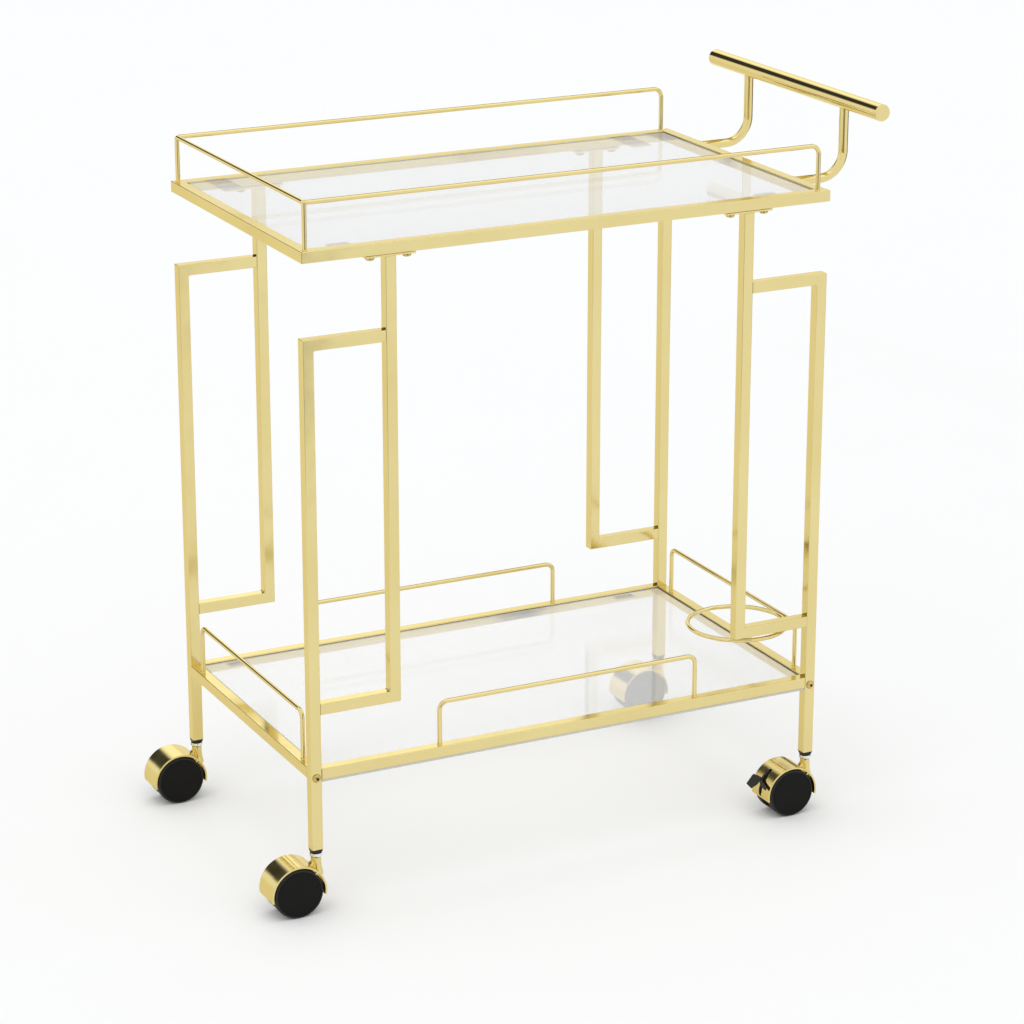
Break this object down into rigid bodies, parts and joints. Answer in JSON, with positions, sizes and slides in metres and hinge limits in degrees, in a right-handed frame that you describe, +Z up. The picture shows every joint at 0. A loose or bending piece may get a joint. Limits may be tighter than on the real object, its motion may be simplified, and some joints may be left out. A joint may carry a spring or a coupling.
{
  "type": "bar cart",
  "caption": "Rectangular serving trolley of square tube with glass shelves, low wire guard rails, a push handle at one end, a bottle ring and swivelling casters.",
  "frame": {"origin": "on the floor, at the bottom centre of the whole cart's bounding box with its casters trailing away from the handle", "axes": "+X along the cart's length towards the push handle, -Y towards the side with the bottle ring and the braked caster, +Z up"},
  "size_m": [0.7204, 0.37, 0.785],
  "materials": {
    "gold_frame": "polished pale gold plating on square steel tube",
    "gold_wire": "polished pale gold plating on round steel wire",
    "gold_handle": "polished pale gold plating on round steel bar",
    "gold_hardware": "pale gold plated bolts, slightly softer shine",
    "hood_plating": "polished pale gold plated caster hoods",
    "glass": "clear tempered glass with a faint milky look, ground edges",
    "plug_plastic": "black moulded plastic, satin",
    "stem_chrome": "bright zinc or chrome plated swivel stem",
    "axle_steel": "plain steel axle",
    "wheel_black": "black satin wheel with a soft tread",
    "pedal_plastic": "black moulded brake pedal, satin"
  },
  "bodies": {
    "frame": {"top_beam_front": "gold_frame", "top_beam_back": "gold_frame", "top_beam_left": "gold_frame", "top_beam_right": "gold_frame", "shelf_beam_front": "gold_frame", "shelf_beam_back": "gold_frame", "shelf_beam_left": "gold_frame", "shelf_beam_right": "gold_frame", "leg_front_left": "gold_frame", "leg_front_right": "gold_frame", "leg_back_left": "gold_frame", "leg_back_right": "gold_frame", "plate_bolt_front_left_1": "gold_hardware", "plate_bolt_front_left_2": "gold_hardware", "plate_bolt_front_right_1": "gold_hardware", "plate_bolt_front_right_2": "gold_hardware", "plate_bolt_back_left_1": "gold_hardware", "plate_bolt_back_left_2": "gold_hardware", "plate_bolt_back_right_1": "gold_hardware", "plate_bolt_back_right_2": "gold_hardware", "shelf_bolt_front_left": "gold_hardware", "shelf_bolt_front_right": "gold_hardware", "shelf_bolt_back_left": "gold_hardware", "shelf_bolt_back_right": "gold_hardware", "top_glass": "glass", "lower_glass": "glass", "top_guard_rail": "gold_wire", "shelf_rail_front": "gold_wire", "shelf_rail_back": "gold_wire", "shelf_rail_left": "gold_wire", "shelf_rail_right": "gold_wire", "bottle_ring": "gold_wire", "handle_bar": "gold_handle", "handle_strut_front": "gold_handle", "handle_strut_back": "gold_handle", "post_plug_front_left": "plug_plastic", "post_plug_front_right": "plug_plastic", "post_plug_back_left": "plug_plastic", "post_plug_back_right": "plug_plastic", "caster_stem_front_left": "stem_chrome", "caster_stem_front_right": "stem_chrome", "caster_stem_back_left": "stem_chrome", "caster_stem_back_right": "stem_chrome"},
    "swivel_front_left": {"caster_hood_front_left": "hood_plating", "caster_axle_front_left": "axle_steel"},
    "wheel_front_left_front": {"caster_wheel_front_left_front": "wheel_black"},
    "wheel_front_left_back": {"caster_wheel_front_left_back": "wheel_black"},
    "swivel_front_right": {"caster_hood_front_right": "hood_plating", "caster_axle_front_right": "axle_steel"},
    "wheel_front_right_front": {"caster_wheel_front_right_front": "wheel_black"},
    "wheel_front_right_back": {"caster_wheel_front_right_back": "wheel_black"},
    "swivel_back_left": {"caster_hood_back_left": "hood_plating", "caster_axle_back_left": "axle_steel"},
    "wheel_back_left_front": {"caster_wheel_back_left_front": "wheel_black"},
    "wheel_back_left_back": {"caster_wheel_back_left_back": "wheel_black"},
    "swivel_back_right": {"caster_hood_back_right": "hood_plating", "caster_axle_back_right": "axle_steel"},
    "wheel_back_right_front": {"caster_wheel_back_right_front": "wheel_black"},
    "wheel_back_right_back": {"caster_wheel_back_right_back": "wheel_black"},
    "brake_pedal": {"brake_pedal_front_right": "pedal_plastic"}
  },
  "joints": [
    {"name": "swivel_front_left", "type": "hinge", "parent": "frame", "child": "swivel_front_left", "pos_m": [-0.30375, -0.167, 0.05], "axis": [0, 0, 1], "continuous": true},
    {"name": "roll_front_left_front", "type": "hinge", "parent": "swivel_front_left", "child": "wheel_front_left_front", "pos_m": [-0.32975, -0.167, 0.027], "axis": [0, 1, 0], "continuous": true},
    {"name": "roll_front_left_back", "type": "hinge", "parent": "swivel_front_left", "child": "wheel_front_left_back", "pos_m": [-0.32975, -0.167, 0.027], "axis": [0, 1, 0], "continuous": true},
    {"name": "swivel_front_right", "type": "hinge", "parent": "frame", "child": "swivel_front_right", "pos_m": [0.28425, -0.167, 0.05], "axis": [0, 0, 1], "continuous": true},
    {"name": "roll_front_right_front", "type": "hinge", "parent": "swivel_front_right", "child": "wheel_front_right_front", "pos_m": [0.25825, -0.167, 0.027], "axis": [0, 1, 0], "continuous": true},
    {"name": "roll_front_right_back", "type": "hinge", "parent": "swivel_front_right", "child": "wheel_front_right_back", "pos_m": [0.25825, -0.167, 0.027], "axis": [0, 1, 0], "continuous": true},
    {"name": "swivel_back_left", "type": "hinge", "parent": "frame", "child": "swivel_back_left", "pos_m": [-0.30375, 0.167, 0.05], "axis": [0, 0, 1], "continuous": true},
    {"name": "roll_back_left_front", "type": "hinge", "parent": "swivel_back_left", "child": "wheel_back_left_front", "pos_m": [-0.32975, 0.167, 0.027], "axis": [0, 1, 0], "continuous": true},
    {"name": "roll_back_left_back", "type": "hinge", "parent": "swivel_back_left", "child": "wheel_back_left_back", "pos_m": [-0.32975, 0.167, 0.027], "axis": [0, 1, 0], "continuous": true},
    {"name": "swivel_back_right", "type": "hinge", "parent": "frame", "child": "swivel_back_right", "pos_m": [0.28425, 0.167, 0.05], "axis": [0, 0, 1], "continuous": true},
    {"name": "roll_back_right_front", "type": "hinge", "parent": "swivel_back_right", "child": "wheel_back_right_front", "pos_m": [0.25825, 0.167, 0.027], "axis": [0, 1, 0], "continuous": true},
    {"name": "roll_back_right_back", "type": "hinge", "parent": "swivel_back_right", "child": "wheel_back_right_back", "pos_m": [0.25825, 0.167, 0.027], "axis": [0, 1, 0], "continuous": true},
    {"name": "brake_press", "type": "hinge", "parent": "swivel_front_right", "child": "brake_pedal", "pos_m": [0.24125, -0.167, 0.038], "axis": [0, -1, 0], "range_deg": [0, 10]}
  ]
}
